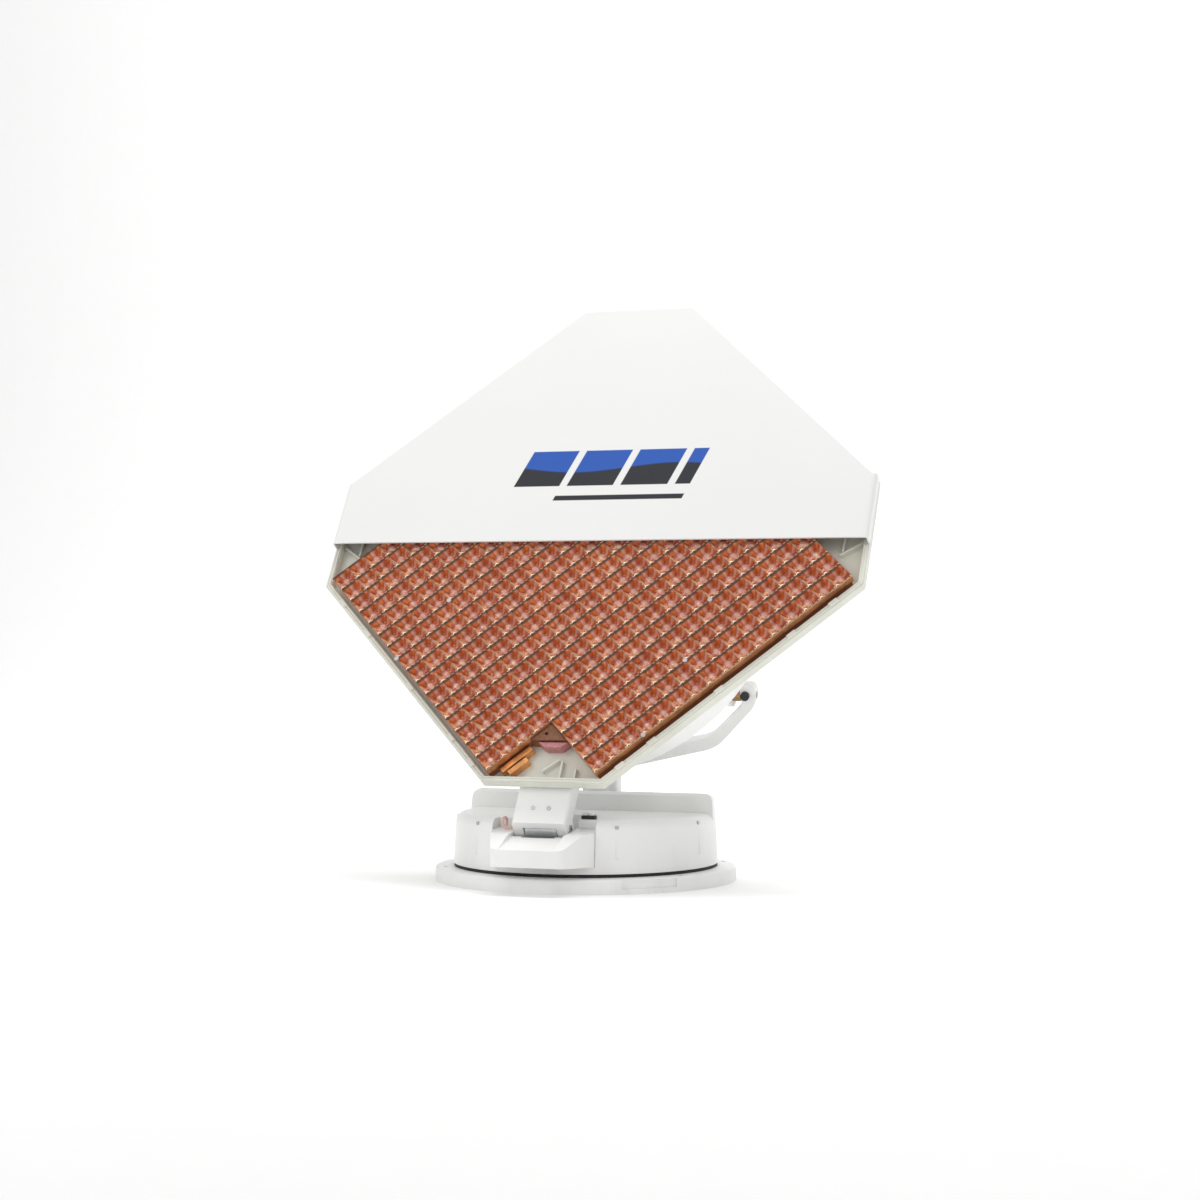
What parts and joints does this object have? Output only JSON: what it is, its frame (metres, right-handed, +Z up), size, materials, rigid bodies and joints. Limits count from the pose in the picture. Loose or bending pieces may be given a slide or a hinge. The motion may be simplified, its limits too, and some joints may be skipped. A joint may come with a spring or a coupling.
{
  "type": "satellite antenna",
  "caption": "Motorised flat-panel satellite antenna: round roof plate, turning turret and fork mast carrying an octagonal tilting horn array with a cutaway front cover.",
  "frame": {"origin": "middle of the roof plate's underside, on the turning axis", "axes": "+Z up along the turning axis, -Y towards the side the panel faces, +X to the right seen from the front; millimetres in the source, metres here"},
  "size_m": [0.57, 0.352, 0.5893],
  "materials": {
    "white_cover": "satin moulded shell, warm white",
    "tray_cream": "satin cream tray",
    "copper_array": "copper-coloured metallised moulding",
    "array_dark": "dark red-brown moulding",
    "feed_mauve": "mauve-copper plated feed parts",
    "black_seal": "matt black seal",
    "black_plastic": "black moulded plastic",
    "lead_pink": "flexible sheathed lead",
    "steel": "turned and zinc-plated steel",
    "cast_alloy": "machined die casting",
    "gear_brass": "cut brass",
    "board_green": "coated circuit board",
    "bush_bronze": "bronze bush"
  },
  "bodies": {
    "base": {"base_plate": "white_cover", "base_seal": "black_seal", "cable_gland": "black_plastic", "slew_ring_fixed": "steel", "azimuth_ring_gear": "gear_brass", "rotary_joint_stator": "cast_alloy"},
    "turret": {"turret_floor": "cast_alloy", "slew_ring_moving": "steel", "rotary_joint_rotor": "black_plastic", "azimuth_motor": "black_plastic", "control_board": "board_green", "hinge_bracket": "cast_alloy", "hinge_pin": "steel", "tilt_gearmotor": "black_plastic", "turret_cover": "white_cover", "cover_screws": "steel", "nose_cover": "white_cover", "deck_socket": "black_plastic", "deck_plug": "white_cover", "arm_lead": "lead_pink", "fork_mast": "white_cover", "fork_caps": "black_plastic", "mast_foot": "cast_alloy", "mast_foot_screws": "steel"},
    "pinion": {"azimuth_pinion": "steel"},
    "drive_arm": {"drive_arm": "white_cover", "arm_screws": "steel", "rod_pin": "steel"},
    "rod": {"tilt_rod": "cast_alloy"},
    "head": {"tray": "tray_cream", "waveguide_plate": "array_dark", "horn_array": "copper_array", "array_screws": "steel", "front_cover": "white_cover", "cover_clips": "tray_cream", "notch_plate": "array_dark", "feed_waveguide": "feed_mauve", "feed_bars": "copper_array", "rear_housing": "white_cover", "trunnion_pins": "steel", "trunnion_bushes": "bush_bronze", "lug_pin": "steel", "housing_screws": "steel", "converter": "cast_alloy", "tuner_board": "board_green"}
  },
  "joints": [
    {"name": "azimuth", "type": "hinge", "parent": "base", "child": "turret", "pos_m": [0, 0, 0.014], "axis": [0, 0, 1], "range_deg": [-195, 195]},
    {"name": "pinion_spin", "type": "hinge", "parent": "turret", "child": "pinion", "pos_m": [-0.04543, -0.01654, 0.01], "axis": [0, 0, 1], "range_deg": [-600, 600]},
    {"name": "tilt", "type": "hinge", "parent": "turret", "child": "head", "pos_m": [0, 0.017, 0.184], "axis": [1, 0, 0], "range_deg": [-57.8, 0]},
    {"name": "arm_swing", "type": "hinge", "parent": "turret", "child": "drive_arm", "pos_m": [0, -0.118, 0.059], "axis": [1, 0, 0], "range_deg": [-57.8, 0]},
    {"name": "rod_swing", "type": "hinge", "parent": "drive_arm", "child": "rod", "pos_m": [0, -0.09136, 0.10131], "axis": [1, 0, 0], "range_deg": [0, 57.8]}
  ],
  "couplings": [
    {"joint": "pinion_spin", "follows": "azimuth", "ratio": 3},
    {"joint": "arm_swing", "follows": "tilt", "ratio": 1},
    {"joint": "rod_swing", "follows": "tilt", "ratio": -1}
  ]
}
